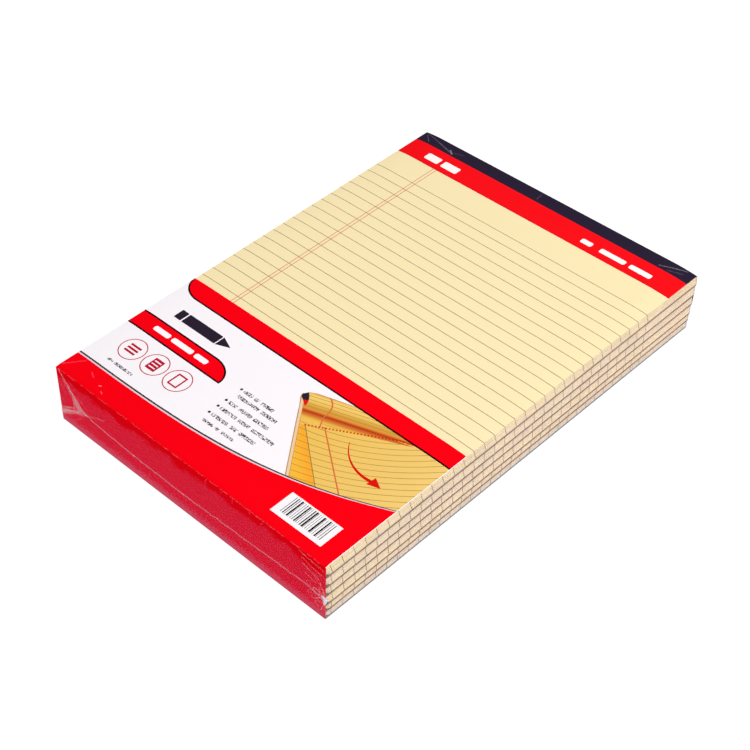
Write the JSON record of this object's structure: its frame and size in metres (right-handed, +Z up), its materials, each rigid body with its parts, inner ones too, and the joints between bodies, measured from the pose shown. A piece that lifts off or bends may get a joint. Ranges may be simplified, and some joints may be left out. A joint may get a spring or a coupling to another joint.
{
  "type": "pack of legal pads",
  "caption": "Shrink-wrapped pack of A4 ruled legal pads, stitched and bound at the head, with a folded paper label round the foot end.",
  "frame": {"origin": "middle of the pack's box, on its underside", "axes": "+Y along the pads to the bound head, +X to the reader's right, +Z up out of the top page"},
  "size_m": [0.2136, 0.2982, 0.0429],
  "materials": {
    "ruled_paper": "uncoated cream-yellow writing paper, ruled",
    "backing_board": "grey-brown chipboard",
    "binding_strip": "coated paper printed dark and red",
    "stitching_wire": "drawn steel wire",
    "label_paper": "coated paper printed red and white",
    "shrink_film": "clear heat-shrunk plastic film"
  },
  "bodies": {
    "root": {"pad_1_ruled_sheets": "ruled_paper", "pad_1_backing_board": "backing_board", "pad_1_binding_strip": "binding_strip", "pad_1_wire_stitches": "stitching_wire", "pad_2_ruled_sheets": "ruled_paper", "pad_2_backing_board": "backing_board", "pad_2_binding_strip": "binding_strip", "pad_2_wire_stitches": "stitching_wire", "pad_3_ruled_sheets": "ruled_paper", "pad_3_backing_board": "backing_board", "pad_3_binding_strip": "binding_strip", "pad_3_wire_stitches": "stitching_wire", "pad_4_ruled_sheets": "ruled_paper", "pad_4_backing_board": "backing_board", "pad_4_binding_strip": "binding_strip", "pad_4_wire_stitches": "stitching_wire", "pad_5_ruled_sheets": "ruled_paper", "pad_5_backing_board": "backing_board", "pad_5_binding_strip": "binding_strip", "pad_5_wire_stitches": "stitching_wire", "pad_6_ruled_sheets": "ruled_paper", "pad_6_backing_board": "backing_board", "pad_6_binding_strip": "binding_strip", "pad_6_wire_stitches": "stitching_wire", "wrap_label": "label_paper", "shrink_film": "shrink_film"}
  },
  "joints": []
}
